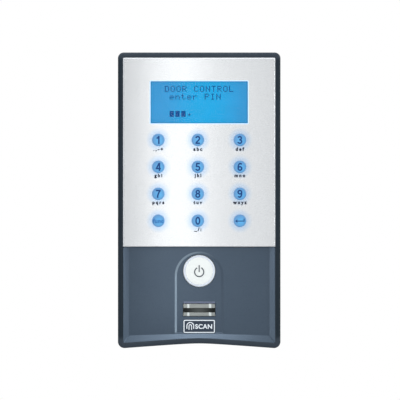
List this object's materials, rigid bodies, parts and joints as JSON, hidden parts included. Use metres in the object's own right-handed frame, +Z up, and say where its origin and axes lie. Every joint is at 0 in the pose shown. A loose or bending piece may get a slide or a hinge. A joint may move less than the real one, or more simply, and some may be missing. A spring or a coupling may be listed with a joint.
{
  "type": "fingerprint scanner terminal",
  "caption": "Wall-mounted access terminal with a blue display, a round-key keypad, a power button and a finger swipe sensor in an arched channel.",
  "frame": {"origin": "centre of the wall plate's back face, which lies against the wall", "axes": "+Z up, +X to the right seen from the front, +Y into the wall; the front faces -Y"},
  "size_m": [0.095, 0.032, 0.1728],
  "materials": {
    "slate_frame": "dark slate moulded plastic with a fine satin grain",
    "slate_panel": "slate moulded plastic with a fine satin grain",
    "slate_rear": "dark slate moulded plastic with spark-eroded texture",
    "satin_silver": "satin silver metallic lacquer with dark printed labels",
    "clear_window": "clear moulded pane, polished",
    "display_blue": "back-lit blue liquid crystal face with darker character dots",
    "key_blue": "translucent back-lit blue caps with dark blue legends",
    "button_white": "smooth white moulded plastic with a grey power symbol",
    "sensor_metal": "fine-ground metal contact rail",
    "sensor_black": "polished black coating",
    "badge_enamel": null,
    "steel": "zinc-plated steel",
    "silicone": "translucent grey silicone",
    "seal_rubber": "matt black rubber",
    "board_green": "green solder mask on glass-fibre board",
    "chip_black": "black moulded epoxy",
    "flex_amber": "amber polyimide film",
    "connector_ivory": "ivory moulded connector plastic",
    "backlight_white": "white diffusing light guide",
    "cell_jacket": "plain dark shrink jacket on a steel can",
    "lead_red": "red wire insulation",
    "lead_black": "black wire insulation"
  },
  "bodies": {
    "terminal": {"front_frame": "slate_frame", "keypad_fascia": "satin_silver", "display_window": "clear_window", "display_glass": "display_blue", "display_bezel": "steel", "display_backlight": "backlight_white", "display_ribbon": "flex_amber", "display_socket": "connector_ivory", "keypad_mat": "silicone", "scanner_panel": "slate_panel", "on_button_switch": "chip_black", "sensor_rail_upper": "sensor_metal", "sensor_rail_lower": "sensor_metal", "sensor_strip": "sensor_black", "sensor_carrier": "connector_ivory", "badge_plate": "badge_enamel", "main_board": "board_green", "scanner_board": "board_green", "controller_chip": "chip_black", "sounder": "chip_black", "radio_module": "steel", "board_link": "flex_amber", "perimeter_seal": "seal_rubber", "rear_housing": "slate_rear", "battery_cell_1": "cell_jacket", "battery_cell_2": "cell_jacket", "battery_contact_positive": "steel", "battery_contact_negative": "steel", "battery_bridge": "steel", "battery_lead_red": "lead_red", "battery_lead_black": "lead_black", "wall_plate": "steel", "lock_screw": "steel", "housing_screw_1": "steel", "housing_screw_2": "steel", "housing_screw_3": "steel", "housing_screw_4": "steel", "main_board_screw_1": "steel", "main_board_screw_2": "steel", "main_board_screw_3": "steel", "main_board_screw_4": "steel", "scanner_board_screw_1": "steel", "scanner_board_screw_2": "steel"},
    "key_1_body": {"key_1": "key_blue"},
    "key_2_body": {"key_2": "key_blue"},
    "key_3_body": {"key_3": "key_blue"},
    "key_4_body": {"key_4": "key_blue"},
    "key_5_body": {"key_5": "key_blue"},
    "key_6_body": {"key_6": "key_blue"},
    "key_7_body": {"key_7": "key_blue"},
    "key_8_body": {"key_8": "key_blue"},
    "key_9_body": {"key_9": "key_blue"},
    "key_func_body": {"key_func": "key_blue"},
    "key_0_body": {"key_0": "key_blue"},
    "key_enter_body": {"key_enter": "key_blue"},
    "power_button": {"on_button_cap": "button_white", "on_button_plunger": "sensor_black"},
    "battery_lid": {"battery_door": "slate_rear"}
  },
  "joints": [
    {"name": "key_1_press", "type": "slide", "parent": "terminal", "child": "key_1_body", "axis": [0, 1, 0], "range_m": [0, 0.0008], "stiffness_N_per_m": 1200, "deforming": ["keypad_mat"]},
    {"name": "key_2_press", "type": "slide", "parent": "terminal", "child": "key_2_body", "axis": [0, 1, 0], "range_m": [0, 0.0008], "stiffness_N_per_m": 1200, "deforming": ["keypad_mat"]},
    {"name": "key_3_press", "type": "slide", "parent": "terminal", "child": "key_3_body", "axis": [0, 1, 0], "range_m": [0, 0.0008], "stiffness_N_per_m": 1200, "deforming": ["keypad_mat"]},
    {"name": "key_4_press", "type": "slide", "parent": "terminal", "child": "key_4_body", "axis": [0, 1, 0], "range_m": [0, 0.0008], "stiffness_N_per_m": 1200, "deforming": ["keypad_mat"]},
    {"name": "key_5_press", "type": "slide", "parent": "terminal", "child": "key_5_body", "axis": [0, 1, 0], "range_m": [0, 0.0008], "stiffness_N_per_m": 1200, "deforming": ["keypad_mat"]},
    {"name": "key_6_press", "type": "slide", "parent": "terminal", "child": "key_6_body", "axis": [0, 1, 0], "range_m": [0, 0.0008], "stiffness_N_per_m": 1200, "deforming": ["keypad_mat"]},
    {"name": "key_7_press", "type": "slide", "parent": "terminal", "child": "key_7_body", "axis": [0, 1, 0], "range_m": [0, 0.0008], "stiffness_N_per_m": 1200, "deforming": ["keypad_mat"]},
    {"name": "key_8_press", "type": "slide", "parent": "terminal", "child": "key_8_body", "axis": [0, 1, 0], "range_m": [0, 0.0008], "stiffness_N_per_m": 1200, "deforming": ["keypad_mat"]},
    {"name": "key_9_press", "type": "slide", "parent": "terminal", "child": "key_9_body", "axis": [0, 1, 0], "range_m": [0, 0.0008], "stiffness_N_per_m": 1200, "deforming": ["keypad_mat"]},
    {"name": "key_func_press", "type": "slide", "parent": "terminal", "child": "key_func_body", "axis": [0, 1, 0], "range_m": [0, 0.0008], "stiffness_N_per_m": 1200, "deforming": ["keypad_mat"]},
    {"name": "key_0_press", "type": "slide", "parent": "terminal", "child": "key_0_body", "axis": [0, 1, 0], "range_m": [0, 0.0008], "stiffness_N_per_m": 1200, "deforming": ["keypad_mat"]},
    {"name": "key_enter_press", "type": "slide", "parent": "terminal", "child": "key_enter_body", "axis": [0, 1, 0], "range_m": [0, 0.0008], "stiffness_N_per_m": 1200, "deforming": ["keypad_mat"]},
    {"name": "power_button_press", "type": "slide", "parent": "terminal", "child": "power_button", "axis": [0, 1, 0], "range_m": [0, 0.0008], "stiffness_N_per_m": 1500},
    {"name": "battery_door_hinge", "type": "hinge", "parent": "terminal", "child": "battery_lid", "pos_m": [0, -0.0042, -0.009], "axis": [1, 0, 0], "range_deg": [0, 90]}
  ]
}
